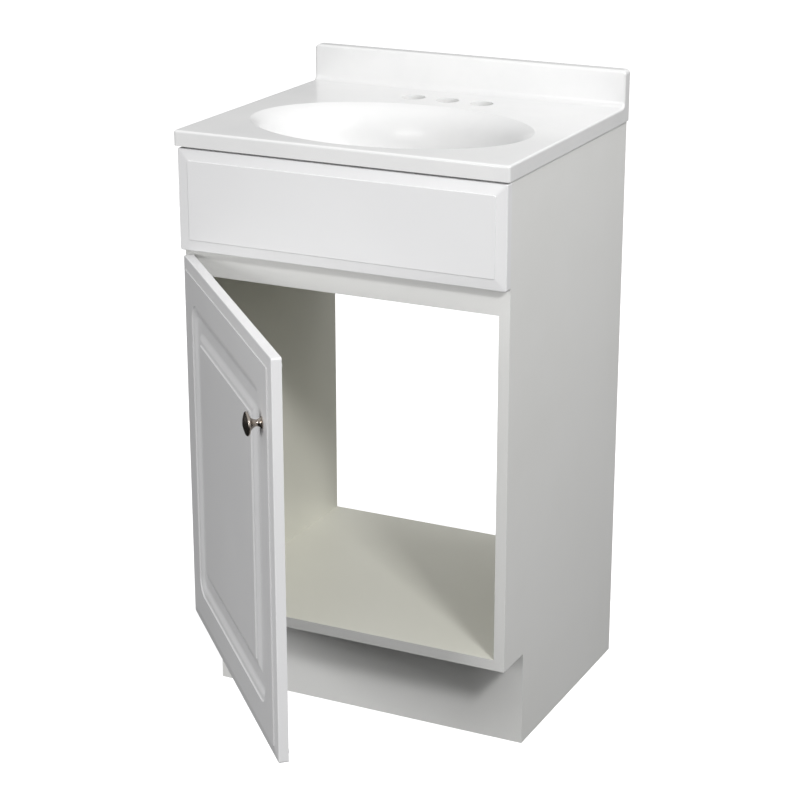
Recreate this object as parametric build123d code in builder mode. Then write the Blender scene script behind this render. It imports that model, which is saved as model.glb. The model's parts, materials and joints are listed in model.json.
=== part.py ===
from build123d import *
import os
from math import cos, radians, sin

os.makedirs("parts", exist_ok=True)

# A small bathroom vanity: a board cabinet on a toe-kick, one overlay door on two
# concealed hinges, a fixed false drawer front and a cast top with an oval bowl.
# Frame: +X to the right, +Y to the back, +Z up, millimetres. z = 0 is the floor,
# x = 0 is the middle of the width and y = 0 is the middle of the toe-kick board.
# The door stands open at REST_OPENING in this model.

# ---------------------------------------------------------------- driving dimensions

BOARD = 15.0                # thickness of every cabinet board
CABINET_WIDTH = 463.0       # over the side panels
CABINET_DEPTH = 390.0       # side panels, front edge to back edge
CABINET_HEIGHT = 786.5      # floor to the top edge of the side panels
KICK_HEIGHT = 132.0         # toe space
KICK_SETBACK = 63.0         # front edge of the side panels to the face of the toe-kick
FRONT_RAIL_HEIGHT = 173.0
BACK_RAIL_HEIGHT = 90.0

TOP_WIDTH = 470.0           # 18 1/2 in
TOP_DEPTH = 406.0           # 16 in
TOP_OVERHANG = 16.0         # in front of the side panels
SLAB_THICKNESS = 20.5
SPLASH_HEIGHT = 50.0        # above the deck
SPLASH_THICKNESS = 19.0
COVE_RADIUS = 7.0           # between the deck and the backsplash

BOWL_LENGTH = 390.0         # rim, along X
BOWL_WIDTH = 268.0          # rim, along Y
BOWL_CENTRE_SETBACK = 137.0  # behind the front edge of the side panels
BOWL_DEPTH = 130.0
DRAIN_RADIUS = 22.5         # for a 1 1/4 in pop-up drain
DRAIN_BOSS_RADIUS = 33.0
DRAIN_BOSS_DROP = 145.0     # underside of the drain seat, below the deck
FAUCET_HOLE_RADIUS = 16.0
FAUCET_HOLE_SPACING = 50.8  # 4 in over the outer two
FAUCET_SETBACK = 313.0      # behind the front edge of the side panels

FALSE_FRONT_HEIGHT = 135.0
FALSE_FRONT_GAP = 3.0       # below the slab
DOOR_HEIGHT = 507.5
DOOR_LIFT = 1.5             # bottom of the door above the bottom of the floor panel
DOOR_GAP = 2.0              # back of the closed door to the cabinet
BORDER_WIDTH = 15.0         # sloped border round the raised field
BORDER_STEP = 1.0           # upright step at the field's edge
BORDER_SLOPE = 1.6          # further fall from the step to the outer edge
GROOVE_INSET = 73.0         # edge of the door to the middle of the routed groove
GROOVE_HALF_WIDTH = 23.0
GROOVE_DEPTH = 5.0

REST_OPENING = 46.6         # degrees from closed
PIVOT_INSET = 6.6           # hinge axis from the closed door's left edge
PIVOT_DEPTH = 1.0           # hinge axis behind the closed door's front face
LINK_RATIO = 0.39           # link turn for each degree of door turn, the other way

KNOB_RADIUS = 14.5
KNOB_PROJECTION = 22.0
KNOB_INSET = 38.0           # from the door's free edge
KNOB_DROP = 88.0            # below the door's top edge

CUP_RADIUS = 17.5
CUP_DEPTH = 11.5
CUP_INSET = 21.5            # cup centre from the door's hinge edge
HINGE_INSET = 75.0          # hinge centre from the door's top and bottom edges
LINK_PIVOT = (33.9, 10.4)   # hinge plan: inset from the closed door's left edge and
LINK_ELBOW = (14.4, 7.2)    # depth behind its front face
LINK_END = (11.5, 11.2)

# ---------------------------------------------------------------- places worked out

HALF_WIDTH = CABINET_WIDTH / 2
INNER_HALF = HALF_WIDTH - BOARD
FRONT = -(KICK_SETBACK + BOARD / 2)         # front edges of the side panels
BACK = FRONT + CABINET_DEPTH
DECK = CABINET_HEIGHT + SLAB_THICKNESS      # top face of the slab
RAIL_BOTTOM = CABINET_HEIGHT - FRONT_RAIL_HEIGHT
BACK_RAIL_MID = CABINET_HEIGHT - BACK_RAIL_HEIGHT / 2
DOOR_BOTTOM = KICK_HEIGHT + DOOR_LIFT
DOOR_MID = DOOR_BOTTOM + DOOR_HEIGHT / 2


def save(piece, name):
    """Label one finished sub-part and write it."""
    piece.part.label = name
    export_step(piece.part, f"parts/{name}.step")
    print(f"{name}: {len(piece.part.solids())} solids, {piece.part.volume / 1000:.1f} cm3")


# ---------------------------------------------------------------- cast vanity top

TOP_FRONT = FRONT - TOP_OVERHANG
TOP_BACK = TOP_FRONT + TOP_DEPTH
SPLASH_FACE = TOP_BACK - SPLASH_THICKNESS
BOWL_Y = FRONT + BOWL_CENTRE_SETBACK
BOWL_RATIO = BOWL_WIDTH / BOWL_LENGTH
RIM = BOWL_LENGTH / 2

# Oval sections of the bowl: depth below the deck and inset from the rim.
BOWL_SECTIONS = [(0, 0), (2.5, 6), (9, 16), (20, 24.5), (45, 33), (80, 53), (108, 88),
                 (124, 128), (BOWL_DEPTH, 165)]
SHELL_SECTIONS = [(10, 4), (20, 19.5), (48, 25.5), (84, 45), (113, 82), (132, 124),
                  (BOWL_DEPTH + 10, 158)]


with BuildPart() as bowl_space:
    with BuildSketch(Plane.XY.offset(DECK)):
        Ellipse(RIM, RIM * BOWL_RATIO)
    extrude(amount=5)
    for depth, inset in BOWL_SECTIONS:
        with BuildSketch(Plane.XY.offset(DECK - depth)):
            Ellipse(RIM - inset, (RIM - inset) * BOWL_RATIO)
    loft()

with BuildPart() as bowl_shell:
    for depth, inset in SHELL_SECTIONS:
        with BuildSketch(Plane.XY.offset(DECK - depth)):
            Ellipse(RIM - inset, (RIM - inset) * BOWL_RATIO)
    loft()

with BuildPart() as vanity_top:
    with BuildSketch(Plane.YZ.offset(-TOP_WIDTH / 2)) as top_profile:
        with BuildLine():
            Polyline(
                (TOP_FRONT, CABINET_HEIGHT), (TOP_BACK, CABINET_HEIGHT),
                (TOP_BACK, DECK + SPLASH_HEIGHT), (SPLASH_FACE, DECK + SPLASH_HEIGHT),
                (SPLASH_FACE, DECK), (TOP_FRONT, DECK), close=True,
            )
        make_face()
    extrude(amount=TOP_WIDTH)
    fillet(vanity_top.edges().filter_by(Axis.Z).group_by(Axis.Y)[0], 4.0)
    fillet(vanity_top.edges().filter_by(Axis.Y).group_by(Axis.Z)[-1], 6.0)
    deck_face = vanity_top.faces().filter_by(Axis.Z).sort_by(Axis.Z)[-2]
    fillet(deck_face.edges().filter_by(Axis.X).sort_by(Axis.Y)[-1], COVE_RADIUS)
    fillet(vanity_top.faces().filter_by(Axis.Y).sort_by(Axis.Y)[0].edges()
           .sort_by(Axis.Z)[-1], 3.0)
    fillet(vanity_top.faces().filter_by(Axis.Z).sort_by(Axis.Z)[-1].edges()
           .filter_by(Axis.X), 3.0)
    with Locations((0, BOWL_Y, 0)):
        add(bowl_shell.part)
    with Locations((0, BOWL_Y, DECK - DRAIN_BOSS_DROP)):
        Cylinder(DRAIN_BOSS_RADIUS, DRAIN_BOSS_DROP - BOWL_DEPTH,
                 align=(Align.CENTER, Align.CENTER, Align.MIN))
    with Locations((0, BOWL_Y, 0)):
        add(bowl_space.part, mode=Mode.SUBTRACT)
    with Locations((0, BOWL_Y, DECK - BOWL_DEPTH)):
        Hole(DRAIN_RADIUS, depth=DRAIN_BOSS_DROP - BOWL_DEPTH)
    with Locations((0, FRONT + FAUCET_SETBACK, DECK)):
        with GridLocations(FAUCET_HOLE_SPACING, 1, 3, 1):
            Hole(FAUCET_HOLE_RADIUS, depth=SLAB_THICKNESS)
save(vanity_top, "vanity_top")

# ---------------------------------------------------------------- joinery sizes

CAM_RADIUS = 7.5            # cam lock, in a blind bore in the board's hidden face
CAM_BORE_DEPTH = 12.5
CAM_SETBACK = 24.0          # cam centre from the end of its board
BOLT_SHANK_RADIUS = 3.0
BOLT_BORE_RADIUS = 4.0
BOLT_THREAD_RADIUS = 2.5
BOLT_THREAD_DEPTH = 11.0
DOWEL_RADIUS = 4.0
DOWEL_HALF = 11.0           # dowel depth in each board
KICK_BACK = BOARD / 2       # back face of the toe-kick board
KICK_BRACKET_LEG = 25.0
KICK_BRACKET_THICKNESS = 1.5
KICK_BRACKET_HEIGHT = 40.0
KICK_SCREW_OFFSET = 16.0    # screw from the corner of the bracket
KICK_SCREW_RADIUS = 1.75
KICK_SCREW_DEPTH = 11.0
SCREW_HEAD_RADIUS = 3.5
SCREW_HEAD_HEIGHT = 2.0

FLOOR_BOLTS = [FRONT + 60, BACK - 60]           # y of the bolts in the floor panel
FLOOR_DOWELS = [FRONT + 100, BACK - 100]
RAIL_MID_Y = FRONT + BOARD / 2
BACK_RAIL_Y = BACK - BOARD / 2
FRONT_RAIL_BOLTS = [RAIL_BOTTOM + 30, CABINET_HEIGHT - 30]      # z
BACK_RAIL_BOLT = BACK_RAIL_MID + 20
BACK_RAIL_DOWEL = BACK_RAIL_MID - 20
FRONT_RAIL_DOWEL = (RAIL_BOTTOM + CABINET_HEIGHT) / 2
FLOOR_MID_Z = KICK_HEIGHT + BOARD / 2

# (y, z) of each bolt and each dowel that runs along X into a side panel
SIDE_BOLTS = (
    [(y, FLOOR_MID_Z) for y in FLOOR_BOLTS]
    + [(RAIL_MID_Y, z) for z in FRONT_RAIL_BOLTS]
    + [(BACK_RAIL_Y, BACK_RAIL_BOLT)]
)
SIDE_DOWELS = (
    [(y, FLOOR_MID_Z) for y in FLOOR_DOWELS]
    + [(RAIL_MID_Y, FRONT_RAIL_DOWEL), (BACK_RAIL_Y, BACK_RAIL_DOWEL)]
)
KICK_DOWELS = [35.0, 97.0]      # z of the dowels that run along Y into each side panel
KICK_SCREWS = [54.0, 78.0]      # z of the bracket screws


# ---------------------------------------------------------------- side panels

HINGE_HEIGHTS = {"lower": DOOR_BOTTOM + HINGE_INSET,
                 "upper": DOOR_BOTTOM + DOOR_HEIGHT - HINGE_INSET}
PLATE_SETBACK = 37.0        # plate screws behind the front edge of the panel
PLATE_SCREW_SPACING = 32.0
PLATE_SCREW_RADIUS = 2.5
PLATE_SCREW_DEPTH = 10.0

for name, side in (("side_panel_left", -1), ("side_panel_right", 1)):
    inner_face = Plane(origin=(side * INNER_HALF, 0, 0), x_dir=(0, 1, 0), z_dir=(1, 0, 0))
    with BuildPart() as panel:
        with BuildSketch(inner_face):
            with BuildLine():
                Polyline(
                    (FRONT, KICK_HEIGHT), (FRONT, CABINET_HEIGHT), (BACK, CABINET_HEIGHT),
                    (BACK, 0), (KICK_BACK, 0), (KICK_BACK, KICK_HEIGHT), close=True,
                )
            make_face()
        extrude(amount=side * BOARD)
        with BuildSketch(inner_face):
            with Locations(*SIDE_BOLTS):
                Circle(BOLT_THREAD_RADIUS)
            with Locations(*SIDE_DOWELS):
                Circle(DOWEL_RADIUS)
        extrude(amount=side * BOLT_THREAD_DEPTH, mode=Mode.SUBTRACT)
        with BuildSketch(Plane.XZ.offset(-KICK_BACK)):
            with Locations(*[(side * (INNER_HALF + BOARD / 2), z) for z in KICK_DOWELS]):
                Circle(DOWEL_RADIUS)
        extrude(amount=-DOWEL_HALF, mode=Mode.SUBTRACT)
        with BuildSketch(inner_face):
            with Locations(*[(KICK_BACK + KICK_SCREW_OFFSET, z) for z in KICK_SCREWS]):
                Circle(KICK_SCREW_RADIUS)
        extrude(amount=side * KICK_SCREW_DEPTH, mode=Mode.SUBTRACT)
        if side < 0:
            with BuildSketch(inner_face):
                for height in HINGE_HEIGHTS.values():
                    with Locations((FRONT + PLATE_SETBACK, height)):
                        with GridLocations(1, PLATE_SCREW_SPACING, 1, 2):
                            Circle(PLATE_SCREW_RADIUS)
            extrude(amount=side * PLATE_SCREW_DEPTH, mode=Mode.SUBTRACT)
    save(panel, name)

# ---------------------------------------------------------------- boards between the sides

CAM_END = INNER_HALF - CAM_SETBACK


def end_plane(side):
    """The end of a board between the side panels; local x is +Y and local y is +Z."""
    return Plane(origin=(side * INNER_HALF, 0, 0), x_dir=(0, 1, 0), z_dir=(1, 0, 0))


with BuildPart() as floor_panel:
    with Locations((0, (FRONT + BACK) / 2, KICK_HEIGHT)):
        Box(2 * INNER_HALF, CABINET_DEPTH, BOARD, align=(Align.CENTER, Align.CENTER, Align.MIN))
    for side in (-1, 1):
        with BuildSketch(end_plane(side)):
            with Locations(*[(y, FLOOR_MID_Z) for y in FLOOR_BOLTS]):
                Circle(BOLT_BORE_RADIUS)
        extrude(amount=-side * CAM_SETBACK, mode=Mode.SUBTRACT)
        with BuildSketch(end_plane(side)):
            with Locations(*[(y, FLOOR_MID_Z) for y in FLOOR_DOWELS]):
                Circle(DOWEL_RADIUS)
        extrude(amount=-side * DOWEL_HALF, mode=Mode.SUBTRACT)
    with BuildSketch(Plane.XY.offset(KICK_HEIGHT)):
        with Locations(*[(side * CAM_END, y) for side in (-1, 1) for y in FLOOR_BOLTS]):
            Circle(CAM_RADIUS)
    extrude(amount=CAM_BORE_DEPTH, mode=Mode.SUBTRACT)
save(floor_panel, "floor_panel")

FALSE_FRONT_SCREWS = [(x, CABINET_HEIGHT - FALSE_FRONT_GAP - FALSE_FRONT_HEIGHT / 2 + z)
                      for x in (-150, 150) for z in (-32, 32)]
FALSE_FRONT_SCREW_RADIUS = 2.0
FALSE_FRONT_SCREW_REACH = 10.0

with BuildPart() as front_rail:
    with Locations((0, RAIL_MID_Y, RAIL_BOTTOM)):
        Box(2 * INNER_HALF, BOARD, FRONT_RAIL_HEIGHT,
            align=(Align.CENTER, Align.CENTER, Align.MIN))
    for side in (-1, 1):
        with BuildSketch(end_plane(side)):
            with Locations(*[(RAIL_MID_Y, z) for z in FRONT_RAIL_BOLTS]):
                Circle(BOLT_BORE_RADIUS)
        extrude(amount=-side * CAM_SETBACK, mode=Mode.SUBTRACT)
        with BuildSketch(end_plane(side)):
            with Locations((RAIL_MID_Y, FRONT_RAIL_DOWEL)):
                Circle(DOWEL_RADIUS)
        extrude(amount=-side * DOWEL_HALF, mode=Mode.SUBTRACT)
    with BuildSketch(Plane.XZ.offset(-(FRONT + BOARD))):
        with Locations(*[(side * CAM_END, z) for side in (-1, 1) for z in FRONT_RAIL_BOLTS]):
            Circle(CAM_RADIUS)
    extrude(amount=CAM_BORE_DEPTH, mode=Mode.SUBTRACT)
    with BuildSketch(Plane.XZ.offset(-(FRONT + BOARD))):
        with Locations(*FALSE_FRONT_SCREWS):
            Circle(FALSE_FRONT_SCREW_RADIUS)
    extrude(amount=BOARD, mode=Mode.SUBTRACT)
save(front_rail, "front_rail")

with BuildPart() as back_rail:
    with Locations((0, BACK_RAIL_Y, BACK_RAIL_MID)):
        Box(2 * INNER_HALF, BOARD, BACK_RAIL_HEIGHT)
    for side in (-1, 1):
        with BuildSketch(end_plane(side)):
            with Locations((BACK_RAIL_Y, BACK_RAIL_BOLT)):
                Circle(BOLT_BORE_RADIUS)
        extrude(amount=-side * CAM_SETBACK, mode=Mode.SUBTRACT)
        with BuildSketch(end_plane(side)):
            with Locations((BACK_RAIL_Y, BACK_RAIL_DOWEL)):
                Circle(DOWEL_RADIUS)
        extrude(amount=-side * DOWEL_HALF, mode=Mode.SUBTRACT)
    with BuildSketch(Plane.XZ.offset(-(BACK - BOARD))):
        with Locations(*[(side * CAM_END, BACK_RAIL_BOLT) for side in (-1, 1)]):
            Circle(CAM_RADIUS)
    extrude(amount=-CAM_BORE_DEPTH, mode=Mode.SUBTRACT)
save(back_rail, "back_rail")

with BuildPart() as toe_kick_board:
    with Locations((0, 0, 0)):
        Box(CABINET_WIDTH, BOARD, KICK_HEIGHT, align=(Align.CENTER, Align.CENTER, Align.MIN))
    with BuildSketch(Plane.XZ.offset(-KICK_BACK)):
        with Locations(*[(side * (INNER_HALF + BOARD / 2), z)
                         for side in (-1, 1) for z in KICK_DOWELS]):
            Circle(DOWEL_RADIUS)
    extrude(amount=DOWEL_HALF, mode=Mode.SUBTRACT)
    with BuildSketch(Plane.XZ.offset(-KICK_BACK)):
        with Locations(*[(side * (INNER_HALF - KICK_SCREW_OFFSET), z)
                         for side in (-1, 1) for z in KICK_SCREWS]):
            Circle(KICK_SCREW_RADIUS)
    extrude(amount=KICK_SCREW_DEPTH, mode=Mode.SUBTRACT)
save(toe_kick_board, "toe_kick_board")

with BuildPart() as kick_brackets:
    for side in (-1, 1):
        corner = side * INNER_HALF
        with BuildSketch(Plane.XY.offset((KICK_HEIGHT - KICK_BRACKET_HEIGHT) / 2)):
            with BuildLine():
                Polyline(
                    (corner, KICK_BACK), (corner - side * KICK_BRACKET_LEG, KICK_BACK),
                    (corner - side * KICK_BRACKET_LEG, KICK_BACK + KICK_BRACKET_THICKNESS),
                    (corner - side * KICK_BRACKET_THICKNESS,
                     KICK_BACK + KICK_BRACKET_THICKNESS),
                    (corner - side * KICK_BRACKET_THICKNESS, KICK_BACK + KICK_BRACKET_LEG),
                    (corner, KICK_BACK + KICK_BRACKET_LEG), close=True,
                )
            make_face()
        extrude(amount=KICK_BRACKET_HEIGHT)
    with BuildSketch(Plane.XZ.offset(-KICK_BACK)):
        with Locations(*[(side * (INNER_HALF - KICK_SCREW_OFFSET), z)
                         for side in (-1, 1) for z in KICK_SCREWS]):
            Circle(KICK_SCREW_RADIUS)
    extrude(amount=-KICK_BRACKET_THICKNESS, mode=Mode.SUBTRACT)
    for side in (-1, 1):
        with BuildSketch(end_plane(side)):
            with Locations(*[(KICK_BACK + KICK_SCREW_OFFSET, z) for z in KICK_SCREWS]):
                Circle(KICK_SCREW_RADIUS)
        extrude(amount=-side * KICK_BRACKET_THICKNESS, mode=Mode.SUBTRACT)
save(kick_brackets, "kick_brackets")

with BuildPart() as kick_bracket_screws:
    for side in (-1, 1):
        for z in KICK_SCREWS:
            into_kick = Plane(
                origin=(side * (INNER_HALF - KICK_SCREW_OFFSET),
                        KICK_BACK + KICK_BRACKET_THICKNESS, z), z_dir=(0, 1, 0))
            into_side = Plane(
                origin=(side * (INNER_HALF - KICK_BRACKET_THICKNESS),
                        KICK_BACK + KICK_SCREW_OFFSET, z), z_dir=(-side, 0, 0))
            for seat in (into_kick, into_side):
                with BuildSketch(seat):
                    Circle(SCREW_HEAD_RADIUS)
                extrude(amount=SCREW_HEAD_HEIGHT, taper=12)
                with BuildSketch(seat):
                    Circle(KICK_SCREW_RADIUS)
                extrude(amount=-(KICK_SCREW_DEPTH + KICK_BRACKET_THICKNESS))
save(kick_bracket_screws, "kick_bracket_screws")

# ---------------------------------------------------------------- cams, bolts and dowels

CAM_HEIGHT = 12.0
CAM_CLEARANCE = 0.1
BOLT_HEAD_RADIUS = 3.5
BOLT_HEAD_LENGTH = 3.0


def cam_seats():
    """Each cam bore's mouth, its z axis out of the mouth and its x axis to the bolt."""
    seats = []
    for side in (-1, 1):
        seats += [Plane(origin=(side * CAM_END, y, KICK_HEIGHT), x_dir=(side, 0, 0),
                        z_dir=(0, 0, -1)) for y in FLOOR_BOLTS]
        seats += [Plane(origin=(side * CAM_END, FRONT + BOARD, z), x_dir=(side, 0, 0),
                        z_dir=(0, 1, 0)) for z in FRONT_RAIL_BOLTS]
        seats += [Plane(origin=(side * CAM_END, BACK - BOARD, BACK_RAIL_BOLT),
                        x_dir=(side, 0, 0), z_dir=(0, -1, 0))]
    return seats


with BuildPart() as cam_locks:
    for seat in cam_seats():
        with BuildSketch(seat):
            Circle(CAM_RADIUS - CAM_CLEARANCE)
        extrude(amount=-CAM_HEIGHT)
        with BuildSketch(seat):
            Rectangle(8, 1.4)
            Rectangle(1.4, 8)
        extrude(amount=-2.2, mode=Mode.SUBTRACT)
        bolt_axis = Plane(origin=seat.origin - seat.z_dir * (BOARD / 2), z_dir=seat.x_dir)
        with BuildSketch(bolt_axis.offset(-BOLT_HEAD_LENGTH)):
            Circle(BOLT_HEAD_RADIUS + 0.4)
        extrude(amount=CAM_RADIUS + BOLT_HEAD_LENGTH, mode=Mode.SUBTRACT)
save(cam_locks, "cam_locks")

with BuildPart() as cam_bolts:
    for side in (-1, 1):
        for y, z in SIDE_BOLTS:
            joint_face = Plane(origin=(side * INNER_HALF, y, z), z_dir=(side, 0, 0))
            with BuildSketch(joint_face):
                Circle(BOLT_THREAD_RADIUS)
            extrude(amount=BOLT_THREAD_DEPTH)
            with BuildSketch(joint_face):
                Circle(BOLT_SHANK_RADIUS)
            extrude(amount=-CAM_SETBACK)
            with BuildSketch(joint_face.offset(-CAM_SETBACK)):
                Circle(BOLT_HEAD_RADIUS)
            extrude(amount=BOLT_HEAD_LENGTH)
save(cam_bolts, "cam_bolts")

with BuildPart() as dowels:
    for side in (-1, 1):
        for y, z in SIDE_DOWELS:
            with BuildSketch(Plane(origin=(side * INNER_HALF, y, z), z_dir=(side, 0, 0))):
                Circle(DOWEL_RADIUS)
            extrude(amount=DOWEL_HALF, both=True)
        for z in KICK_DOWELS:
            with BuildSketch(Plane(origin=(side * (INNER_HALF + BOARD / 2), KICK_BACK, z),
                                   z_dir=(0, 1, 0))):
                Circle(DOWEL_RADIUS)
            extrude(amount=DOWEL_HALF, both=True)
save(dowels, "dowels")

CORNER_BLOCK_LEG = 42.0
CORNER_BLOCK_THICKNESS = 18.0

with BuildPart() as corner_blocks:
    for side in (-1, 1):
        for y, toward in ((FRONT + BOARD, 1), (BACK - BOARD, -1)):
            with BuildSketch(Plane.XY.offset(CABINET_HEIGHT - CORNER_BLOCK_THICKNESS)):
                with BuildLine():
                    Polyline(
                        (side * INNER_HALF, y), (side * (INNER_HALF - CORNER_BLOCK_LEG), y),
                        (side * (INNER_HALF - CORNER_BLOCK_LEG), y + toward * 8),
                        (side * (INNER_HALF - 8), y + toward * CORNER_BLOCK_LEG),
                        (side * INNER_HALF, y + toward * CORNER_BLOCK_LEG), close=True,
                    )
                make_face()
            extrude(amount=CORNER_BLOCK_THICKNESS)
save(corner_blocks, "corner_blocks")

# ---------------------------------------------------------------- false drawer front

EDGE_THICKNESS = BOARD - BORDER_STEP - BORDER_SLOPE
EDGE_ROUND = 1.5
CORNER_ROUND = 2.5
FALSE_FRONT_MID = CABINET_HEIGHT - FALSE_FRONT_GAP - FALSE_FRONT_HEIGHT / 2


def bordered_panel(back, height):
    """A front panel with a raised field inside a border that slopes to its edges."""
    with BuildPart() as panel:
        with BuildSketch(back):
            RectangleRounded(CABINET_WIDTH, height, CORNER_ROUND)
        extrude(amount=EDGE_THICKNESS)
        with BuildSketch(back.offset(EDGE_THICKNESS)):
            RectangleRounded(CABINET_WIDTH, height, CORNER_ROUND)
        with BuildSketch(back.offset(EDGE_THICKNESS + BORDER_SLOPE)):
            RectangleRounded(CABINET_WIDTH - 2 * BORDER_WIDTH, height - 2 * BORDER_WIDTH,
                             CORNER_ROUND)
        loft()
        outer = [edge for edge in panel.edges()
                 if abs(back.to_local_coords(edge.center()).Z - EDGE_THICKNESS) < 0.01]
        fillet(outer, EDGE_ROUND)
        with BuildSketch(back.offset(EDGE_THICKNESS)):
            RectangleRounded(CABINET_WIDTH - 2 * BORDER_WIDTH, height - 2 * BORDER_WIDTH,
                             CORNER_ROUND)
        extrude(amount=BORDER_SLOPE + BORDER_STEP)
        crest = [edge for edge in panel.edges()
                 if abs(back.to_local_coords(edge.center()).Z - BOARD) < 0.01]
        fillet(crest, 0.6)
    return panel


with BuildPart() as false_front:
    add(bordered_panel(
        Plane(origin=(0, FRONT, FALSE_FRONT_MID), x_dir=(1, 0, 0), z_dir=(0, -1, 0)),
        FALSE_FRONT_HEIGHT))
    with BuildSketch(Plane.XZ.offset(-FRONT)):
        with Locations(*FALSE_FRONT_SCREWS):
            Circle(FALSE_FRONT_SCREW_RADIUS)
    extrude(amount=FALSE_FRONT_SCREW_REACH, mode=Mode.SUBTRACT)
save(false_front, "false_front")

with BuildPart() as false_front_screws:
    for x, z in FALSE_FRONT_SCREWS:
        seat = Plane(origin=(x, FRONT + BOARD, z), z_dir=(0, 1, 0))
        with BuildSketch(seat):
            Circle(SCREW_HEAD_RADIUS + 0.5)
        extrude(amount=SCREW_HEAD_HEIGHT, taper=12)
        with BuildSketch(seat):
            Circle(FALSE_FRONT_SCREW_RADIUS)
        extrude(amount=-(BOARD + FALSE_FRONT_SCREW_REACH))
save(false_front_screws, "false_front_screws")

# ---------------------------------------------------------------- door and its frame

OPEN = radians(REST_OPENING)
CLOSED_CORNER = Vector(-HALF_WIDTH, FRONT - DOOR_GAP - BOARD, 0)    # front left edge
HINGE_AXIS = CLOSED_CORNER + Vector(PIVOT_INSET, PIVOT_DEPTH, 0)


def hinge_plan(inset, depth):
    """A point of the hinge plan, given with the door closed."""
    return (CLOSED_CORNER.X + inset, CLOSED_CORNER.Y + depth)


along_door = Vector(cos(OPEN), -sin(OPEN), 0)       # hinge edge to free edge
out_of_door = Vector(-sin(OPEN), -cos(OPEN), 0)     # out of the door's front face
open_corner = HINGE_AXIS - along_door * PIVOT_INSET + out_of_door * PIVOT_DEPTH
door_middle = open_corner + along_door * HALF_WIDTH + Vector(0, 0, DOOR_MID)
door_front = Plane(origin=door_middle, x_dir=along_door, z_dir=out_of_door)
door_back = door_front.offset(-BOARD)
print("hinge axis", HINGE_AXIS, "link pivot", hinge_plan(*LINK_PIVOT))

GROOVE_HALF_X = HALF_WIDTH - GROOVE_INSET
GROOVE_HALF_Y = DOOR_HEIGHT / 2 - GROOVE_INSET
KNOB_X = HALF_WIDTH - KNOB_INSET
KNOB_Y = DOOR_HEIGHT / 2 - KNOB_DROP
KNOB_SCREW_RADIUS = 2.0
KNOB_SCREW_REACH = 11.0
CUP_X = -HALF_WIDTH + CUP_INSET
CUP_SCREW_SPACING = 48.0
CUP_SCREW_OFFSET = 6.0          # from the cup's centre toward the free edge
CUP_SCREW_RADIUS = 1.6
CUP_SCREW_DEPTH = 9.0
BUMPER_RADIUS = 4.0
BUMPER_THICKNESS = 1.7
BUMPER_INSET = 8.0
BUMPER_RISE = 12.0

CUP_HEIGHTS = [height - DOOR_MID for height in HINGE_HEIGHTS.values()]
CUP_SCREWS = [(CUP_X + CUP_SCREW_OFFSET, y + side * CUP_SCREW_SPACING / 2)
              for y in CUP_HEIGHTS for side in (-1, 1)]

# What a router bit takes out of the door as it follows the panel's rectangle: the bit's
# own round at each corner and its straight section along each side.
with BuildPart() as groove_cutter:
    corners = [(-1, -1), (1, -1), (1, 1), (-1, 1)]
    for index, (cx, cy) in enumerate(corners):
        nx, ny = corners[(index + 1) % 4]
        start = door_front.from_local_coords(
            Vector(cx * GROOVE_HALF_X, cy * GROOVE_HALF_Y, 0))
        stop = door_front.from_local_coords(
            Vector(nx * GROOVE_HALF_X, ny * GROOVE_HALF_Y, 0))
        run = stop - start
        section_plane = Plane(origin=start, x_dir=run.cross(out_of_door), z_dir=run)
        up = 1 if section_plane.y_dir.dot(out_of_door) > 0 else -1
        with BuildSketch(section_plane) as bit_section:
            with BuildLine():
                lip = Line((GROOVE_HALF_WIDTH, up), (GROOVE_HALF_WIDTH, 0))
                shoulder = RadiusArc(lip @ 1, (GROOVE_HALF_WIDTH - 2.5, -up * 1.6), up * 3.0)
                ledge = Line(shoulder @ 1, (GROOVE_HALF_WIDTH - 6, -up * 1.9))
                cove = Spline(ledge @ 1, (GROOVE_HALF_WIDTH - 11, -up * 3.8),
                              (GROOVE_HALF_WIDTH - 16.5, -up * GROOVE_DEPTH),
                              tangents=[(-1, -up * 0.15), (-1, 0)])
                Polyline(cove @ 1, (0, -up * GROOVE_DEPTH), (0, up), lip @ 0)
            make_face()
            mirror(about=Plane.YZ)
        extrude(amount=run.length)
    for cx, cy in corners:
        corner = door_front.from_local_coords(
            Vector(cx * GROOVE_HALF_X, cy * GROOVE_HALF_Y, 0))
        turn_plane = Plane(origin=corner, x_dir=along_door, z_dir=(0, 0, 1))
        with BuildSketch(turn_plane):
            with BuildLine():
                lip = Line((GROOVE_HALF_WIDTH, -1), (GROOVE_HALF_WIDTH, 0))
                shoulder = RadiusArc(lip @ 1, (GROOVE_HALF_WIDTH - 2.5, 1.6), -3.0)
                ledge = Line(shoulder @ 1, (GROOVE_HALF_WIDTH - 6, 1.9))
                cove = Spline(ledge @ 1, (GROOVE_HALF_WIDTH - 11, 3.8),
                              (GROOVE_HALF_WIDTH - 16.5, GROOVE_DEPTH),
                              tangents=[(-1, 0.15), (-1, 0)])
                Polyline(cove @ 1, (0, GROOVE_DEPTH), (0, -1), lip @ 0)
            make_face()
        revolve(axis=Axis(corner, out_of_door))

with BuildPart() as door:
    add(bordered_panel(door_back, DOOR_HEIGHT))
    add(groove_cutter.part, mode=Mode.SUBTRACT)
    with BuildSketch(door_back):
        with Locations(*[(CUP_X, y) for y in CUP_HEIGHTS]):
            Circle(CUP_RADIUS)
    extrude(amount=CUP_DEPTH, mode=Mode.SUBTRACT)
    with BuildSketch(door_back):
        with Locations(*CUP_SCREWS):
            Circle(CUP_SCREW_RADIUS)
    extrude(amount=CUP_SCREW_DEPTH, mode=Mode.SUBTRACT)
    with BuildSketch(door_back):
        with Locations((KNOB_X, KNOB_Y)):
            Circle(KNOB_SCREW_RADIUS)
    extrude(amount=BOARD, mode=Mode.SUBTRACT)
save(door, "door")

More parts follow.
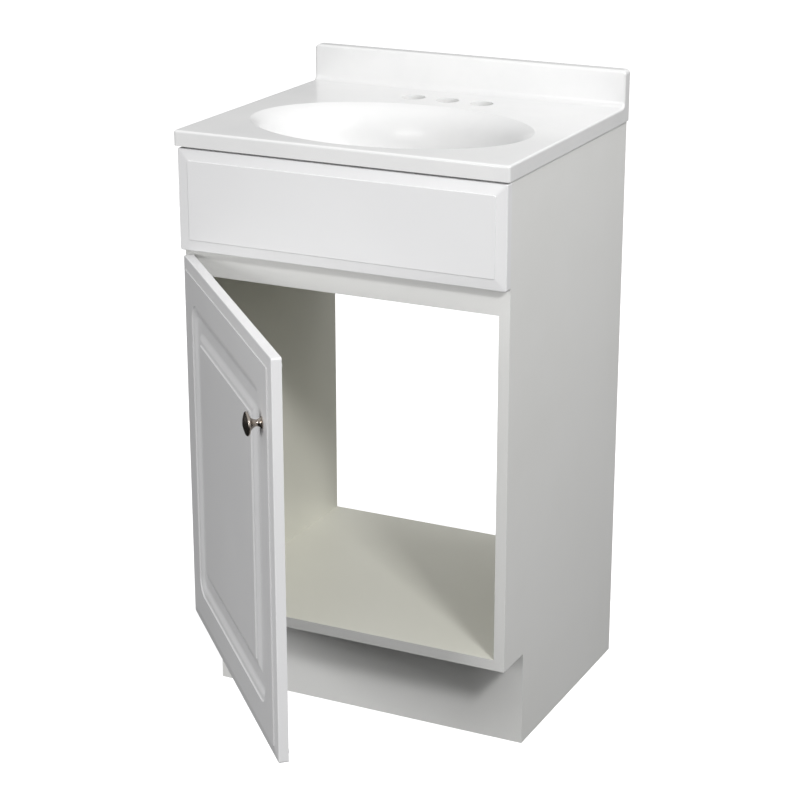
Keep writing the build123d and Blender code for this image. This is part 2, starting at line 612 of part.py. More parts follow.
knob_foot = door_front.from_local_coords(Vector(KNOB_X, KNOB_Y, 0))
with BuildPart() as knob:
    with BuildSketch(Plane(origin=knob_foot, x_dir=along_door, z_dir=(0, 0, -1))):
        with BuildLine():
            foot = Polyline((0, 0), (7.2, 0), (7.2, 1.2))
            neck = Spline(foot @ 1, (5.2, 3.0), (4.1, 7.2), (6.6, 12.2), (13.3, 16.0))
            brim = RadiusArc(neck @ 1, (KNOB_RADIUS, 17.6), -2.0)
            crown = Spline(brim @ 1, (12.6, 19.6), (7.6, 21.3), (0, KNOB_PROJECTION),
                           tangents=[(0, 1), (-1, 0)])
            Line(crown @ 1, foot @ 0)
        make_face()
    revolve(axis=Axis(knob_foot, out_of_door))
    with BuildSketch(door_front):
        with Locations((KNOB_X, KNOB_Y)):
            Circle(KNOB_SCREW_RADIUS)
    extrude(amount=KNOB_SCREW_REACH + 1, mode=Mode.SUBTRACT)
save(knob, "knob")

with BuildPart() as knob_screw:
    with BuildSketch(door_back):
        with Locations((KNOB_X, KNOB_Y)):
            Circle(SCREW_HEAD_RADIUS + 0.5)
    extrude(amount=-SCREW_HEAD_HEIGHT, taper=12)
    with BuildSketch(door_back):
        with Locations((KNOB_X, KNOB_Y)):
            Circle(KNOB_SCREW_RADIUS)
    extrude(amount=BOARD + KNOB_SCREW_REACH)
save(knob_screw, "knob_screw")

with BuildPart() as door_bumpers:
    with BuildSketch(door_back):
        with Locations((HALF_WIDTH - BUMPER_INSET, DOOR_HEIGHT / 2 - BUMPER_RISE),
                       (HALF_WIDTH - BUMPER_INSET, BUMPER_RISE - DOOR_HEIGHT / 2)):
            Circle(BUMPER_RADIUS)
    extrude(amount=-BUMPER_THICKNESS, taper=15)
save(door_bumpers, "door_bumpers")

# ---------------------------------------------------------------- concealed hinges

CUP_WALL = 0.7
CUP_FLOOR = 1.0
CUP_EAR_THICKNESS = 1.2
CUP_EAR_START = 12.0            # the ears leave the middle of the rim free for the arm
CUP_EAR_END = 30.0
PLATE_THICKNESS = 2.5
PLATE_HALF_HEIGHT = 24.0
PLATE_WIDTH = 24.0
RIB_HEIGHT = 3.5                # rib of the mounting plate, which carries the arm
RIB_HALF = 6.0
RIB_START, RIB_END = 13.0, 60.0         # behind the panel's front edge
ARM_WEB = 1.5
ARM_HALF = 8.0
ARM_START, ARM_END = 8.0, 62.0          # behind the panel's front edge
ARM_SCREW_RADIUS = 2.0
ARM_SCREWS = [20.0, 50.0]               # behind the panel's front edge
NECK_HALF_WIDTH = 2.6
NECK_HALF_HEIGHT = 2.5
LINK_HALF_WIDTH = 1.6
LINK_INSIDE = 2.7               # the link's two plates stand either side of the neck
LINK_OUTSIDE = 4.2
PIN_RADIUS = 1.5
PIN_CLEARANCE = 0.05
PANEL_FRONT_DEPTH = DOOR_GAP + BOARD    # panel's front edge behind the closed door's face

PLATE_TOP = BOARD + PLATE_THICKNESS     # insets from the closed door's left edge
RIB_TOP = PLATE_TOP + RIB_HEIGHT
WEB_TOP = RIB_TOP + ARM_WEB
NECK_START = (19.5, PANEL_FRONT_DEPTH + 9.0)
LINK_REST_TURN = radians(LINK_RATIO * REST_OPENING)


def midpoint(first, second):
    return ((first[0] + second[0]) / 2, (first[1] + second[1]) / 2)


def cabinet_plan(height):
    """Plan of the hinge that stays with the cabinet: x is inset, y is depth."""
    return Plane(origin=CLOSED_CORNER + Vector(0, 0, height), x_dir=(1, 0, 0), z_dir=(0, 0, 1))


def panel_face(height, inset):
    """Faces away from the left panel; local x is -Z and local y is +Y behind its edge."""
    return Plane(origin=(CLOSED_CORNER.X + inset, FRONT, height), x_dir=(0, 0, -1),
                 z_dir=(1, 0, 0))


for name, height in HINGE_HEIGHTS.items():
    with BuildPart() as hinge_plate:
        with BuildSketch(panel_face(height, BOARD)):
            with Locations((0, PLATE_SETBACK)):
                RectangleRounded(2 * PLATE_HALF_HEIGHT, PLATE_WIDTH, 6.0)
            with Locations((0, (RIB_START + RIB_END) / 2)):
                Rectangle(2 * RIB_HALF, RIB_END - RIB_START)
        extrude(amount=PLATE_THICKNESS)
        with BuildSketch(panel_face(height, PLATE_TOP)):
            with Locations((0, (RIB_START + RIB_END) / 2)):
                Rectangle(2 * RIB_HALF, RIB_END - RIB_START)
        extrude(amount=RIB_HEIGHT)
        with BuildSketch(panel_face(height, BOARD)):
            with Locations(*[(side * PLATE_SCREW_SPACING / 2, PLATE_SETBACK)
                             for side in (-1, 1)]):
                Circle(PLATE_SCREW_RADIUS)
        extrude(amount=PLATE_THICKNESS, mode=Mode.SUBTRACT)
        with BuildSketch(panel_face(height, RIB_TOP)):
            with Locations(*[(0, y) for y in ARM_SCREWS]):
                Circle(ARM_SCREW_RADIUS)
        extrude(amount=-RIB_HEIGHT, mode=Mode.SUBTRACT)
    save(hinge_plate, f"hinge_plate_{name}")

    with BuildPart() as hinge_arm:
        with BuildSketch(panel_face(height, PLATE_TOP)):
            with Locations((0, (ARM_START + ARM_END) / 2)):
                Rectangle(2 * ARM_HALF, ARM_END - ARM_START)
        extrude(amount=RIB_HEIGHT + ARM_WEB)
        fillet(hinge_arm.edges().filter_by(Axis.Y).group_by(Axis.X)[-1], 1.2)
        with BuildSketch(panel_face(height, PLATE_TOP)):
            with Locations((0, (ARM_START + ARM_END) / 2)):
                Rectangle(2 * RIB_HALF, ARM_END - ARM_START)
        extrude(amount=RIB_HEIGHT, mode=Mode.SUBTRACT)
        with BuildSketch(cabinet_plan(height)):
            SlotCenterPoint(midpoint(NECK_START, LINK_PIVOT), LINK_PIVOT, 2 * NECK_HALF_WIDTH)
        extrude(amount=NECK_HALF_HEIGHT, both=True)
        with BuildSketch(cabinet_plan(height)):
            with Locations(LINK_PIVOT):
                Circle(PIN_RADIUS)
        extrude(amount=NECK_HALF_HEIGHT, both=True, mode=Mode.SUBTRACT)
        with BuildSketch(panel_face(height, WEB_TOP)):
            with Locations(*[(0, y) for y in ARM_SCREWS]):
                Circle(ARM_SCREW_RADIUS)
        extrude(amount=-ARM_WEB, mode=Mode.SUBTRACT)
    save(hinge_arm, f"hinge_arm_{name}")

    link_plan = Plane(origin=(*hinge_plan(*LINK_PIVOT), height),
                      x_dir=(cos(LINK_REST_TURN), sin(LINK_REST_TURN), 0), z_dir=(0, 0, 1))
    elbow = (LINK_ELBOW[0] - LINK_PIVOT[0], LINK_ELBOW[1] - LINK_PIVOT[1])
    end = (LINK_END[0] - LINK_PIVOT[0], LINK_END[1] - LINK_PIVOT[1])
    with BuildPart() as hinge_link:
        for side in (-1, 1):
            with BuildSketch(link_plan.offset(side * LINK_INSIDE)):
                SlotCenterPoint(midpoint((0, 0), elbow), elbow, 2 * LINK_HALF_WIDTH)
                SlotCenterPoint(midpoint(elbow, end), end, 2 * LINK_HALF_WIDTH)
                Circle(NECK_HALF_WIDTH)
                Circle(PIN_RADIUS + PIN_CLEARANCE, mode=Mode.SUBTRACT)
            extrude(amount=side * (LINK_OUTSIDE - LINK_INSIDE))
        with BuildSketch(link_plan):
            with Locations(end):
                Circle(LINK_HALF_WIDTH)
        extrude(amount=LINK_OUTSIDE, both=True)
    save(hinge_link, f"hinge_link_{name}")

    with BuildPart() as hinge_cup:
        with BuildSketch(door_back):
            with Locations((CUP_X, height - DOOR_MID)):
                Circle(CUP_RADIUS)
        extrude(amount=CUP_DEPTH)
        with BuildSketch(door_back):
            with Locations((CUP_X, height - DOOR_MID)):
                Circle(CUP_RADIUS - CUP_WALL)
        extrude(amount=CUP_DEPTH - CUP_FLOOR, mode=Mode.SUBTRACT)
        with BuildSketch(door_back):
            for side in (-1, 1):
                with Locations((CUP_X + 3, height - DOOR_MID
                                + side * (CUP_EAR_START + CUP_EAR_END) / 2)):
                    RectangleRounded(19, CUP_EAR_END - CUP_EAR_START, 4)
            with Locations((CUP_X, height - DOOR_MID)):
                Circle(CUP_RADIUS - CUP_WALL, mode=Mode.SUBTRACT)
            with Locations(*CUP_SCREWS):
                Circle(CUP_SCREW_RADIUS, mode=Mode.SUBTRACT)
        extrude(amount=-CUP_EAR_THICKNESS)
    save(hinge_cup, f"hinge_cup_{name}")

with BuildPart() as hinge_plate_screws:
    for height in HINGE_HEIGHTS.values():
        for side in (-1, 1):
            spot = (side * PLATE_SCREW_SPACING / 2, PLATE_SETBACK)
            with BuildSketch(panel_face(height, PLATE_TOP)):
                with Locations(spot):
                    Circle(SCREW_HEAD_RADIUS + 0.5)
            extrude(amount=SCREW_HEAD_HEIGHT, taper=12)
            with BuildSketch(panel_face(height, PLATE_TOP)):
                with Locations(spot):
                    Circle(PLATE_SCREW_RADIUS)
            extrude(amount=-(PLATE_THICKNESS + PLATE_SCREW_DEPTH))
save(hinge_plate_screws, "hinge_plate_screws")

with BuildPart() as hinge_arm_screws:
    for height in HINGE_HEIGHTS.values():
        for y in ARM_SCREWS:
            with BuildSketch(panel_face(height, WEB_TOP)):
                with Locations((0, y)):
                    Circle(SCREW_HEAD_RADIUS)
            extrude(amount=SCREW_HEAD_HEIGHT, taper=12)
            with BuildSketch(panel_face(height, WEB_TOP)):
                with Locations((0, y)):
                    Circle(ARM_SCREW_RADIUS)
            extrude(amount=-(RIB_HEIGHT + ARM_WEB))
save(hinge_arm_screws, "hinge_arm_screws")

with BuildPart() as hinge_link_pins:
    for height in HINGE_HEIGHTS.values():
        with BuildSketch(cabinet_plan(height)):
            with Locations(LINK_PIVOT):
                Circle(PIN_RADIUS)
        extrude(amount=LINK_OUTSIDE + 0.6, both=True)
        for side in (-1, 1):
            with BuildSketch(cabinet_plan(height).offset(side * (LINK_OUTSIDE + 0.2))):
                with Locations(LINK_PIVOT):
                    Circle(2.2)
            extrude(amount=side * 0.4)
save(hinge_link_pins, "hinge_link_pins")

with BuildPart() as hinge_cup_screws:
    for spot in CUP_SCREWS:
        with BuildSketch(door_back.offset(-CUP_EAR_THICKNESS)):
            with Locations(spot):
                Circle(SCREW_HEAD_RADIUS)
        extrude(amount=-0.7)
        with BuildSketch(door_back.offset(-CUP_EAR_THICKNESS)):
            with Locations(spot):
                Circle(CUP_SCREW_RADIUS)
        extrude(amount=CUP_EAR_THICKNESS + CUP_SCREW_DEPTH)
save(hinge_cup_screws, "hinge_cup_screws")
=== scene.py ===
# %% [markdown]
# # A small white bathroom vanity cabinet
# The shapes of this cabinet come ready made from the design model: boards, door, hinges,
# screws and the cast top with its bowl. What is left to do here is what the eye judges
# first, the finishes and the light. Every cell adds one thing and prints what it made.

import json
import math

import bpy
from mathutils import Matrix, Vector


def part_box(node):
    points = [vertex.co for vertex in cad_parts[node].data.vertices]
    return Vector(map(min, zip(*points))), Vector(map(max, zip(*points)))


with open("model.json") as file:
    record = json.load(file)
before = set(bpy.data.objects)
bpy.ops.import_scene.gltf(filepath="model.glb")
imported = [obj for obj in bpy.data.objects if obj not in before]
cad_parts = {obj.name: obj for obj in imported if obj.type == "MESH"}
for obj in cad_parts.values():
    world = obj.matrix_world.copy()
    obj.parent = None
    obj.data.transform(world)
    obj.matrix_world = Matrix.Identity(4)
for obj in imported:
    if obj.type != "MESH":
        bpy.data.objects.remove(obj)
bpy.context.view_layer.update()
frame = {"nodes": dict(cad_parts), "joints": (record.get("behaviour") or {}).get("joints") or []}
nodes = frame["nodes"]

# %% [markdown]
# A finish in Blender is a network of nodes, and wiring one by hand takes many lines.
# The two small classes below make a network read like arithmetic. `Value` wraps the
# output of any node, and `+`, `-` and `*` on it add the node that does the sum.
# Colours and vectors need Vector Math, because a plain Math node would turn a colour grey.

# %% Shader maths as Python
MATH = "ShaderNodeMath"
VECTOR_MATH = "ShaderNodeVectorMath"


class Value:
    """The output of a node, with operators that add the node for each sum."""

    def __init__(self, finish, socket):
        self.finish = finish
        self.socket = socket

    def _many(self, other=None):
        kinds = {"RGBA", "VECTOR"}
        return self.socket.type in kinds or (
            isinstance(other, Value) and other.socket.type in kinds)

    def _sum(self, operation, first, second):
        if self._many(first if first is not self else second):
            values = [v if isinstance(v, (Value, tuple)) else (v, v, v)
                      for v in (first, second)]
            return self.finish.node(VECTOR_MATH, {"operation": operation},
                                    {0: values[0], 1: values[1]}, out="Vector")
        return self.finish.node(MATH, {"operation": operation}, {0: first, 1: second})

    def __add__(self, other):
        return self._sum("ADD", self, other)

    def __radd__(self, other):
        return self._sum("ADD", other, self)

    def __sub__(self, other):
        return self._sum("SUBTRACT", self, other)

    def __rsub__(self, other):
        return self._sum("SUBTRACT", other, self)

    def __mul__(self, other):
        return self._sum("MULTIPLY", self, other)

    def __rmul__(self, other):
        return self._sum("MULTIPLY", other, self)

    def math(self, operation, other=0.0):
        """Any other operation of the Math node, on plain numbers."""
        return self.finish.node(MATH, {"operation": operation}, {0: self, 1: other})

    def ramp(self, low, high):
        """0 below low and 1 above high, with a soft step between them."""
        return self.finish.node("ShaderNodeMapRange", {"interpolation_type": "SMOOTHSTEP"},
                                {"Value": self, "From Min": low, "From Max": high})


class Network:
    """A tree of nodes, and the one method that adds any node to it."""

    def __init__(self, tree):
        self.tree = tree

    def node(self, kind, settings=None, inputs=None, out=0):
        """Any node: its settings first, then the values or links of its sockets."""
        made = self.tree.nodes.new(kind)
        for key, value in (settings or {}).items():
            if key == "stops":
                for index, (position, colour) in enumerate(value):
                    ramp = made.color_ramp.elements
                    stop = ramp[index] if index < 2 else ramp.new(position)
                    stop.position, stop.color = position, (*colour, 1.0)
            else:
                setattr(made, key, value)
        for key, value in (inputs or {}).items():
            self._feed(made.inputs[key], value)
        return Value(self, made.outputs[out])

    def _feed(self, socket, value):
        if isinstance(value, Value):
            self.tree.links.new(value.socket, socket)
        else:
            socket.default_value = value


class Finish(Network):
    """A material that is built up node by node around one Principled shader."""

    def __init__(self, name, colour, roughness, metallic=0.0, coat=0.0, coat_roughness=0.05):
        self.material = bpy.data.materials.new(name)
        self.material.use_nodes = True
        self.material.diffuse_color = (*colour, 1.0)
        super().__init__(self.material.node_tree)
        self.shader = self.tree.nodes["Principled BSDF"]
        self.set(**{"Base Color": (*colour, 1.0), "Roughness": roughness,
                    "Metallic": metallic, "Coat Weight": coat,
                    "Coat Roughness": coat_roughness})
        self.place = self.node("ShaderNodeTexCoord", out="Object")

    def set(self, **inputs):
        """Feeds sockets of the Principled shader with numbers, colours or values."""
        for key, value in inputs.items():
            self._feed(self.shader.inputs[key], value)

    def noise(self, scale, detail=2.0, rough=0.5, at=None):
        """Cloudy noise between 0 and 1; scale counts its lumps in a metre."""
        return self.node("ShaderNodeTexNoise", {"noise_dimensions": "3D"},
                         {"Vector": at or self.place, "Scale": scale, "Detail": detail,
                          "Roughness": rough})

    def stretched(self, x, y, z):
        """The place, scaled by axis: under 1 pulls a pattern out long that way."""
        return self.place * (x, y, z)

    def mix(self, amount, first, second):
        """One colour where amount is 0 and another where it is 1."""
        made = self.tree.nodes.new("ShaderNodeMix")
        made.data_type = "RGBA"
        for index, value in ((0, amount), (6, first), (7, second)):
            plain = isinstance(value, tuple) and len(value) == 3
            self._feed(made.inputs[index], (*value, 1.0) if plain else value)
        return Value(self, made.outputs[2])

    def bump(self, height, distance, strength=1.0):
        """A normal bent by a height, which counts for this distance in metres."""
        return self.node("ShaderNodeBump", None, {
            "Height": height, "Distance": distance, "Strength": strength})


def dress(finish, *names):
    """Puts a finish on design pieces in place of the plain colour that they came with."""
    for name in names:
        for slot in nodes[name].material_slots:
            slot.material = finish.material
    print(finish.material.name, "on", len(names), "pieces")


print("ready:", Value.__name__, Network.__name__, Finish.__name__)


# %% [markdown]
# ## Facing and place
# Some finishes differ from face to face: a board is laminated on its wide faces but may
# show its core on a cut edge at the back. `facing` is 1 where the surface looks along a
# direction, read from the true normal, and `coordinate` is one of x, y or z in metres.

# %% Masks by direction and place


def facing(finish, direction):
    """1 where the surface looks along a direction, 0 from about 30 degrees off it."""
    normal = finish.node("ShaderNodeNewGeometry", out="True Normal")
    along = finish.node(VECTOR_MATH, {"operation": "DOT_PRODUCT"},
                        {0: normal, 1: direction}, out="Value")
    return along.ramp(0.85, 0.95)


def coordinate(finish, axis):
    """One of x, y or z of the place, in metres."""
    return finish.node("ShaderNodeSeparateXYZ", None, {0: finish.place}, out=axis)


BLEND = 0.0004      # metres over which a mask goes from 0 to 1
for mask in (facing, coordinate):
    print(mask.__name__, "-", mask.__doc__)


# %% [markdown]
# ## The cast top
# The top is cast marble: stone dust in resin under a clear gel coat, poured white. It has
# hardly any pattern, only faint clouds, and a deep even gloss. A coat layer over a slightly
# rougher base gives that look, and a very low, wide bump keeps long reflections from
# being ruled lines, as they never are on a casting.

# %% Gel-coated cast marble
gel_coat = Finish("gel_coated_white", (0.81, 0.81, 0.81), 0.30, coat=0.4,
                  coat_roughness=0.12)
clouds = gel_coat.noise(9.0, detail=4.0, at=gel_coat.place
                        + 0.05 * gel_coat.noise(5.0, detail=2.0))
veins = gel_coat.noise(38.0, detail=5.0, rough=0.6)
cloud_mask = (clouds.ramp(0.35, 0.7) + 0.35 * veins.ramp(0.45, 0.62)) * 0.7
gel_coat.set(**{
    "Base Color": gel_coat.mix(cloud_mask, (0.825, 0.825, 0.822), (0.795, 0.797, 0.797)),
    "Roughness": 0.27 + 0.08 * gel_coat.noise(26.0, detail=3.0),
    "Coat Weight": 0.30 + 0.12 * gel_coat.noise(14.0),
    "Normal": gel_coat.bump(gel_coat.noise(7.0, detail=1.0), 0.0016),
})
dress(gel_coat, "vanity_top")

# %% [markdown]
# ## Laminated boards
# The case is particle board pressed between sheets of white melamine paper. Up close the
# paper has a fine pebble from its press plate, and a satin sheen. The edges that show at
# the front are banded in the same white, while the edges at the back and on the floor are
# taken to be left as sawn, so the chips of the core show there. The masks from above
# choose them. Inside the case the paper is painted warmer and a little darker: painted
# shade that stands in for the dim, warm light deep in the box.
# The rail across the back turns a whole face that way, so it has no sawn mask there.

# %% White melamine board
INNER_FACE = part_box("floor_panel")[1].x         # of the right side panel
FLOOR_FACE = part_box("floor_panel")[1].z         # top of the floor panel
BACK_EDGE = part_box("side_panel_left")[1].y


def chips(finish):
    """Sawn particle board: pressed chips of several browns."""
    flakes = finish.node("ShaderNodeTexVoronoi", {"feature": "F1"},
                         {"Vector": finish.place, "Scale": 620.0, "Randomness": 1.0},
                         out="Color")
    tone = finish.node("ShaderNodeSeparateColor", None, {0: flakes}, out=0)
    return finish.node("ShaderNodeValToRGB", {"stops": [
        (0.0, (0.20, 0.12, 0.06)), (1.0, (0.62, 0.47, 0.30)),
        (0.35, (0.40, 0.27, 0.15)), (0.7, (0.52, 0.38, 0.23))]}, {"Fac": tone})


def melamine(name, colour, shade, sheen, sawn_back=True):
    """Satin white melamine with painted warm shade in the case, and chips on the edges left as
    sawn.
    """
    finish = Finish(name, colour, sheen)
    pebble = finish.noise(1500.0, detail=2.0)
    drift = finish.noise(6.0, detail=3.0)
    specks = finish.noise(420.0, detail=1.0).ramp(0.70, 0.78)
    paper_and_shade = finish.mix(drift.ramp(0.3, 0.7) * 0.8 + 0.1 * specks, colour, shade)
    # Painted shade: between the side panels and above the floor panel the white turns warmer and
    # darker.
    sideways = coordinate(finish, "X").math("ABSOLUTE")
    between = 1 - sideways.ramp(INNER_FACE, INNER_FACE + BLEND)
    above = coordinate(finish, "Z").ramp(FLOOR_FACE - BLEND, FLOOR_FACE)
    painted_inside_shade = between * above * (1 - facing(finish, (0, -1, 0)))
    paper_and_shade = finish.mix(painted_inside_shade, paper_and_shade, finish.mix(drift, (0.80, 0.795, 0.72),
                                                 (0.78, 0.775, 0.695)))
    near_floor = 1 - coordinate(finish, "Z").ramp(0.001, 0.002)
    core = facing(finish, (0, 0, -1)) * near_floor
    if sawn_back:
        at_back = coordinate(finish, "Y").ramp(BACK_EDGE - 0.0005, BACK_EDGE - 0.0003)
        core = (facing(finish, (0, 1, 0)) * at_back).math("MAXIMUM", core)
    relief = (pebble * 0.12) * (1 - core) + finish.noise(900.0, detail=4.0) * core
    finish.set(**{
        "Base Color": finish.mix(core, paper_and_shade, chips(finish)),
        "Roughness": (sheen - 0.04 + 0.10 * finish.noise(70.0, detail=3.0)) * (1 - core)
        + 0.85 * core,
        "Normal": finish.bump(relief, 0.0006, 0.5),
    })
    return finish


board = melamine("white_melamine", (0.80, 0.80, 0.785), (0.775, 0.775, 0.755), 0.40)
dress(board, "side_panel_left", "side_panel_right", "floor_panel", "front_rail",
      "toe_kick_board")
rail_board = melamine("white_melamine_rail", (0.80, 0.80, 0.785), (0.775, 0.775, 0.755), 0.40,
                      sawn_back=False)
dress(rail_board, "back_rail")

# %% [markdown]
# ## The fronts
# The door and the false drawer front are fibreboard with white foil drawn over them by
# vacuum. Foil follows the routed groove without a seam, so its colour is even, and it is a
# touch smoother and cooler than the melamine. One finish covers front, edges and back,
# since a real back is nearly the same white.

# %% White foil over fibreboard
foil = Finish("white_foil", (0.82, 0.82, 0.825), 0.33)
foil_grain = foil.noise(2200.0, detail=2.0)
foil_drift = foil.noise(4.0, detail=2.0)
foil.set(**{
    "Base Color": foil.mix(foil_drift.ramp(0.3, 0.7), (0.83, 0.83, 0.835),
                           (0.80, 0.80, 0.806)),
    "Roughness": 0.29 + 0.09 * foil.noise(40.0, detail=4.0),
    "Normal": foil.bump(foil_grain * 0.08 + foil.noise(30.0, detail=2.0) * 0.25, 0.0008, 0.5),
})
dress(foil, "door", "false_front")

# %% [markdown]
# ## The knob
# The knob is turned and then plated in satin nickel, a warm grey metal. The lathe and the
# brush leave rings round its axis. Rings are a wave texture whose distance is measured
# from the axis, so the axis is found first: it leans with the open door, at right angles
# to the door's face.

# %% Satin nickel
hinge = next(joint for joint in frame["joints"] if joint["name"] == "door_hinge")
opening = -math.radians(hinge["range_deg"][0])
out_of_door = Vector((-math.sin(opening), -math.cos(opening), 0.0))
knob_low, knob_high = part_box("knob")
knob_middle = (knob_low + knob_high) / 2

nickel = Finish("satin_nickel", (0.55, 0.52, 0.48), 0.30, metallic=1.0)
from_axis = nickel.place - tuple(knob_middle)
along = nickel.node(VECTOR_MATH, {"operation": "DOT_PRODUCT"},
                    {0: from_axis, 1: tuple(out_of_door)}, out="Value")
reach = nickel.node(VECTOR_MATH, {"operation": "LENGTH"}, {0: from_axis}, out="Value")
radius = (reach * reach - along * along).math("MAXIMUM", 0.0).math("SQRT")
coarse = (radius * 9000.0).math("SINE")
fine = (radius * 23000.0 + along * 5000.0).math("SINE")
rings = coarse + fine
wear = nickel.noise(160.0, detail=4.0)
nickel.set(**{
    "Base Color": nickel.mix(wear.ramp(0.4, 0.7), (0.50, 0.45, 0.40), (0.38, 0.33, 0.29)),
    "Roughness": 0.17 + 0.04 * rings + 0.10 * wear,
    "Normal": nickel.bump(rings, 0.00002, 0.35),
})
dress(nickel, "knob")

# %% [markdown]
# ## Hinges and fastenings
# Stamped hinge parts are bright nickel plate, and screws, brackets and cams are zinc
# plate: steel with a thin even coat that dulls in patches. One function makes both, with
# fine lines across the height of each part and a cloudy roughness.

# %% Plated steel


def plated(name, colour, dulled, roughness):
    finish = Finish(name, colour, roughness, metallic=1.0)
    drawn = finish.noise(300.0, detail=3.0, at=finish.stretched(1.0, 1.0, 14.0))
    bloom = finish.noise(220.0, detail=4.0, rough=0.65)
    finish.set(**{
        "Base Color": finish.mix(bloom.ramp(0.45, 0.75), colour, dulled),
        "Roughness": roughness + 0.12 * bloom + 0.05 * drawn,
        "Normal": finish.bump(drawn, 0.00005, 0.3),
    })
    return finish


bright = plated("bright_nickel_plate", (0.66, 0.65, 0.62), (0.55, 0.54, 0.51), 0.18)
zinc = plated("zinc_plate", (0.58, 0.59, 0.60), (0.44, 0.45, 0.46), 0.32)
dress(bright, *[name for name in nodes if name.startswith("hinge_")])
dress(zinc, "kick_brackets", "kick_bracket_screws", "false_front_screws", "knob_screw",
      "cam_locks", "cam_bolts")

# %% [markdown]
# ## Bare wood
# Dowels and glued corner blocks are beech and pine, never painted. Grain is noise pulled
# out long in one direction, with fine pores of the same kind but much finer.

# %% Bare wood
wood = Finish("bare_beech", (0.62, 0.45, 0.28), 0.6)
grain = wood.noise(90.0, detail=5.0, at=wood.stretched(0.12, 1.0, 1.0))
pores = wood.noise(900.0, detail=2.0, at=wood.stretched(0.08, 1.0, 1.0))
wood.set(**{
    "Base Color": wood.mix(grain.ramp(0.35, 0.68), (0.66, 0.49, 0.31), (0.47, 0.31, 0.17)),
    "Roughness": 0.5 + 0.2 * pores,
    "Normal": wood.bump(pores + grain * 0.5, 0.0003, 0.5),
})
dress(wood, "dowels", "corner_blocks")

# %% [markdown]
# ## Door bumpers
# Two soft dots keep the door quiet. Frosted resin is pale and a little milky. They are
# only 8 mm wide, so a low coat over a soft grey stands in for light passing through them.

# %% Frosted bumpers
frosted = Finish("frosted_bumper", (0.72, 0.73, 0.72), 0.35, coat=0.4)
frosted.set(**{
    "Base Color": frosted.mix(frosted.noise(500.0), (0.76, 0.77, 0.76), (0.66, 0.67, 0.66)),
    "Roughness": 0.3 + 0.15 * frosted.noise(900.0),
})
dress(frosted, "door_bumpers")

# %% [markdown]
# ## Floor and light
# The cabinet stands on a plain pale floor in a soft studio. The floor reaches far enough
# back that no edge of it shows. It glows a little, so that it stays near white under the
# soft shadow, and it is kept out of the bounced light, because a white floor would fill
# the shadows below the cabinet that give it weight.

# %% Floor
FLOOR_REACH = 40.0
floor_mesh = bpy.data.meshes.new("floor")
floor_mesh.from_pydata([(-FLOOR_REACH, -FLOOR_REACH, 0), (FLOOR_REACH, -FLOOR_REACH, 0),
                        (FLOOR_REACH, FLOOR_REACH, 0), (-FLOOR_REACH, FLOOR_REACH, 0)],
                       [], [(0, 1, 2, 3)])
floor = bpy.data.objects.new("floor", floor_mesh)
bpy.context.scene.collection.objects.link(floor)
floor.visible_diffuse = False
floor.visible_glossy = False
pale = Finish("pale_floor", (0.93, 0.93, 0.93), 0.9)
pale.set(**{
    "Base Color": pale.mix(pale.noise(2.0), (0.93, 0.93, 0.93), (0.92, 0.92, 0.92)),
    "Emission Color": (1.0, 1.0, 1.0, 1.0), "Emission Strength": 0.55,
    "Specular IOR Level": 0.0})
floor_mesh.materials.append(pale.material)
print("floor", 2 * FLOOR_REACH, "m across")

# %% [markdown]
# The room is a dome that is bright above, a little brighter in front than behind, and
# nearly dark below. Its brightness is a sum on the direction of each ray: `Generated` in
# a world is the direction itself, so its z is height and its y is front to back.

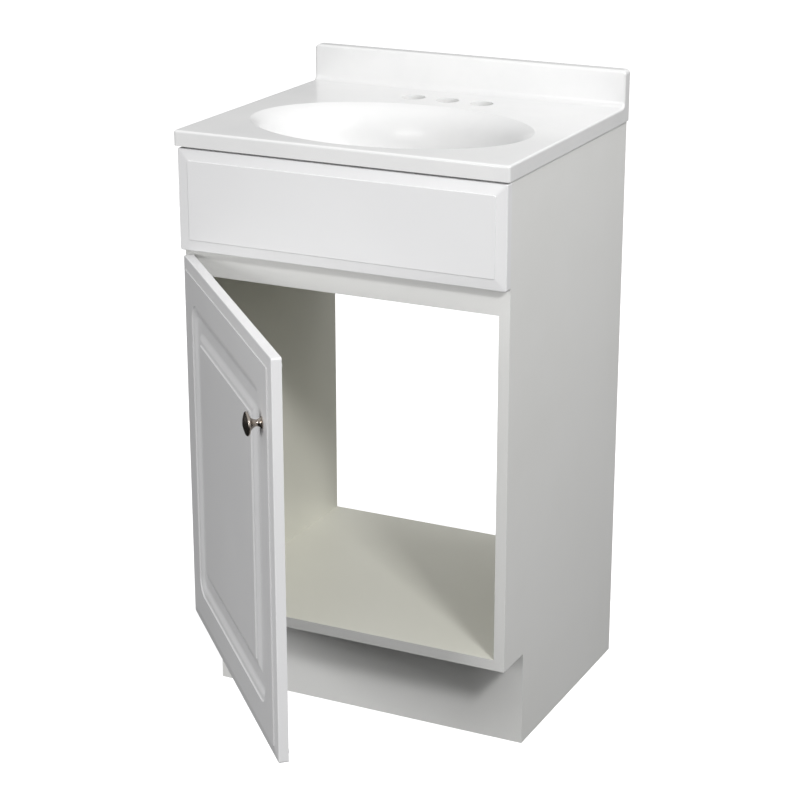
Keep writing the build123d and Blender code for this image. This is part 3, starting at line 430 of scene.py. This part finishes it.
# %% Dome
surround = bpy.data.worlds.new("studio")
bpy.context.scene.world = surround
surround.use_nodes = True
dome = Network(surround.node_tree)
ray = dome.node("ShaderNodeTexCoord", out="Generated")
height = dome.node("ShaderNodeSeparateXYZ", None, {0: ray}, out="Z")
depth = dome.node("ShaderNodeSeparateXYZ", None, {0: ray}, out="Y")
DIM, ABOVE, AHEAD = 0.02, 0.64, 0.04
upper = height.ramp(-0.15, 0.5)
in_front = (1 - depth.ramp(-0.7, 0.5)) * height.ramp(-0.5, 0.1)
brightness = DIM + ABOVE * upper + AHEAD * in_front
background = surround.node_tree.nodes["Background"]
background.inputs["Color"].default_value = (1.0, 1.0, 1.0, 1.0)
surround.node_tree.links.new(brightness.socket, background.inputs["Strength"])
print("dome", DIM, "below and", DIM + ABOVE, "overhead")

# %% [markdown]
# Three square lamps shape the cabinet. One in front, a little to the left, lights the
# door and the false front. One far off at the front right corner is the strongest, and
# casts the slanting shadow of the right side panel on the floor panel. One near and high
# on the right makes that side lighter at its top than at its foot. Wide lamps give soft
# edges to the shadows.

# %% Lamps


def soft_lamp(name, place, target, width, power):
    """A square area lamp of a given width in metres that looks at a target."""
    data = bpy.data.lights.new(name, "AREA")
    data.energy, data.size = power, width
    lamp = bpy.data.objects.new(name, data)
    lamp.location = place
    direction = Vector(target) - Vector(place)
    lamp.rotation_euler = direction.to_track_quat("-Z", "Y").to_euler()
    bpy.context.scene.collection.objects.link(lamp)
    print(name, "lamp,", power, "W and", width, "m wide")


soft_lamp("front", (-0.6, -2.5, 0.9), (0.0, 0.0, 0.5), 0.8, 22.0)
soft_lamp("corner", (2.4, -2.08, 2.7), (0.0, 0.0, 0.55), 0.5, 64.0)
soft_lamp("high", (1.45, 0.25, 1.65), (0.1, 0.1, 0.7), 0.9, 8.0)

# %% [markdown]
# The default view transform presses bright tones together to keep highlights from
# burning out. On an all-white cabinet that makes everything the same flat grey, so the
# plain Standard transform is used, and the lamps are kept low enough for it.

# %% View transform
bpy.context.scene.view_settings.view_transform = "Standard"
print("view transform", bpy.context.scene.view_settings.view_transform)

# %% [markdown]
# ## Camera
# A long lens from the front right and above shows the top, the front and the right side
# together. The camera's place is in metres from the design's origin on the floor, and it
# is turned by two angles in radians, so no target object is needed.

# %% Camera
lens = bpy.data.cameras.new("view")
lens.lens, lens.sensor_width = 99.6, 36.0       # millimetres
camera = bpy.data.objects.new("view", lens)
camera.location = (1.2541, -2.4682, 1.4012)
turn, dip = 0.455, 0.331
camera.rotation_euler = (math.pi / 2 - dip, 0.0, turn)
bpy.context.scene.collection.objects.link(camera)
bpy.context.scene.camera = camera
print("camera at", tuple(round(value, 3) for value in camera.location))
